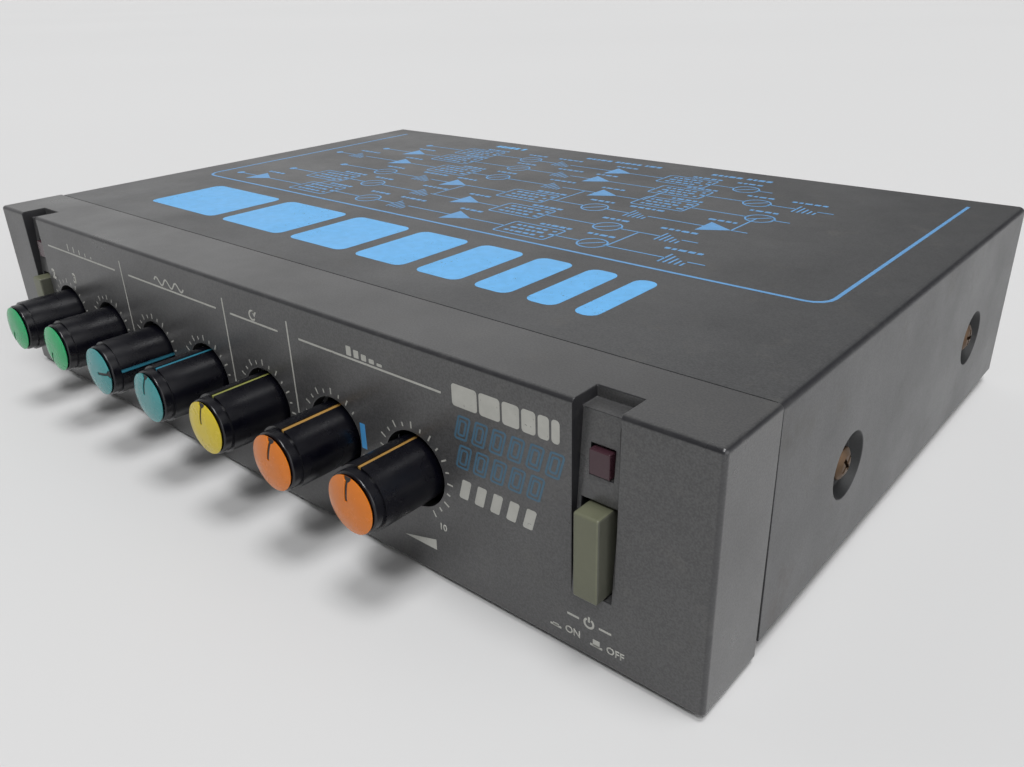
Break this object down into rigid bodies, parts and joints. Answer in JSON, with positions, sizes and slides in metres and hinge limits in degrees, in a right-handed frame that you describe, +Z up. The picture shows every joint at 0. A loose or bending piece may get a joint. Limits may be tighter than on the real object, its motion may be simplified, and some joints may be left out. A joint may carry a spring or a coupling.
{
  "type": "rack delay unit",
  "caption": "Half-width rack delay unit: moulded front with rotary knobs, two push buttons and lamps, folded steel cover over a tray, and a rear row of sockets.",
  "frame": {"origin": "under the middle of the unit, on the plane that its feet stand on", "axes": "+X to the user's right along the width, +Y from the knobs to the rear panel, +Z up"},
  "size_m": [0.218, 0.1664, 0.0456],
  "materials": {
    "bezel_paint": "metallic grey paint on moulded plastic, fine grain",
    "cover_paint": "satin dark grey enamel",
    "tray_paint": "satin dark grey enamel",
    "screw_metal": "yellow plated, dulled",
    "foot_rubber": "matte",
    "knob_black": "satin",
    "insert_green": "semi-gloss",
    "insert_teal": "semi-gloss",
    "insert_yellow": "semi-gloss",
    "insert_orange": "semi-gloss",
    "shaft_metal": "turned",
    "control_metal": "zinc plated",
    "button_grey": "satin",
    "black_plastic": "satin",
    "lamp_red": "dark clear red",
    "board_green": "lacquered board",
    "cable_grey": "satin",
    "nut_metal": "nickel plated"
  },
  "bodies": {
    "case": {"front_bezel": "bezel_paint", "top_cover": "cover_paint", "chassis_tray": "tray_paint", "side_screw_1": "screw_metal", "side_screw_2": "screw_metal", "side_screw_3": "screw_metal", "side_screw_4": "screw_metal", "foot_1": "foot_rubber", "foot_2": "foot_rubber", "foot_3": "foot_rubber", "foot_4": "foot_rubber", "rotary_control_1": "control_metal", "rotary_control_2": "control_metal", "rotary_control_3": "control_metal", "rotary_control_4": "control_metal", "rotary_control_5": "control_metal", "rotary_control_6": "control_metal", "rotary_control_7": "control_metal", "power_switch": "black_plastic", "effect_switch": "black_plastic", "power_lamp": "lamp_red", "effect_lamp": "lamp_red", "control_board": "board_green", "main_board": "board_green", "delay_processor": "black_plastic", "ribbon_cable": "cable_grey", "jack_1": "black_plastic", "jack_2": "black_plastic", "jack_3": "black_plastic", "jack_4": "black_plastic", "jack_nut_1": "nut_metal", "jack_nut_2": "nut_metal", "jack_nut_3": "nut_metal", "jack_nut_4": "nut_metal", "power_inlet": "black_plastic", "level_switch": "control_metal"},
    "knob_body_1": {"knob_1": "knob_black", "knob_insert_1": "insert_green", "control_shaft_1": "shaft_metal"},
    "knob_body_2": {"knob_2": "knob_black", "knob_insert_2": "insert_green", "control_shaft_2": "shaft_metal"},
    "knob_body_3": {"knob_3": "knob_black", "knob_insert_3": "insert_teal", "control_shaft_3": "shaft_metal"},
    "knob_body_4": {"knob_4": "knob_black", "knob_insert_4": "insert_teal", "control_shaft_4": "shaft_metal"},
    "knob_body_5": {"knob_5": "knob_black", "knob_insert_5": "insert_yellow", "control_shaft_5": "shaft_metal"},
    "knob_body_6": {"knob_6": "knob_black", "knob_insert_6": "insert_orange", "control_shaft_6": "shaft_metal"},
    "knob_body_7": {"knob_7": "knob_black", "knob_insert_7": "insert_orange", "control_shaft_7": "shaft_metal"},
    "power_button_body": {"power_button": "button_grey"},
    "effect_button_body": {"effect_button": "button_grey"},
    "level_slider_body": {"level_slider": "black_plastic"}
  },
  "joints": [
    {"name": "knob_1_turn", "type": "hinge", "parent": "case", "child": "knob_body_1", "pos_m": [-0.078, -0.068, 0.0217], "axis": [0, 1, 0], "range_deg": [0, 300]},
    {"name": "knob_2_turn", "type": "hinge", "parent": "case", "child": "knob_body_2", "pos_m": [-0.0565, -0.068, 0.0217], "axis": [0, 1, 0], "range_deg": [0, 300]},
    {"name": "knob_3_turn", "type": "hinge", "parent": "case", "child": "knob_body_3", "pos_m": [-0.035, -0.068, 0.0217], "axis": [0, 1, 0], "range_deg": [-233, 67]},
    {"name": "knob_4_turn", "type": "hinge", "parent": "case", "child": "knob_body_4", "pos_m": [-0.0135, -0.068, 0.0217], "axis": [0, 1, 0], "range_deg": [-159, 141]},
    {"name": "knob_5_turn", "type": "hinge", "parent": "case", "child": "knob_body_5", "pos_m": [0.008, -0.068, 0.0217], "axis": [0, 1, 0], "range_deg": [-154, 146]},
    {"name": "knob_6_turn", "type": "hinge", "parent": "case", "child": "knob_body_6", "pos_m": [0.0295, -0.068, 0.0217], "axis": [0, 1, 0], "range_deg": [-161, 139]},
    {"name": "knob_7_turn", "type": "hinge", "parent": "case", "child": "knob_body_7", "pos_m": [0.051, -0.068, 0.0217], "axis": [0, 1, 0], "range_deg": [-152, 148]},
    {"name": "power_button_press", "type": "slide", "parent": "case", "child": "power_button_body", "axis": [0, 1, 0], "range_m": [0, 0.0025], "stiffness_N_per_m": 300},
    {"name": "effect_button_press", "type": "slide", "parent": "case", "child": "effect_button_body", "axis": [0, 1, 0], "range_m": [0, 0.0025], "stiffness_N_per_m": 300},
    {"name": "level_slider_slide", "type": "slide", "parent": "case", "child": "level_slider_body", "axis": [1, 0, 0], "range_m": [0, 0.0032]}
  ]
}
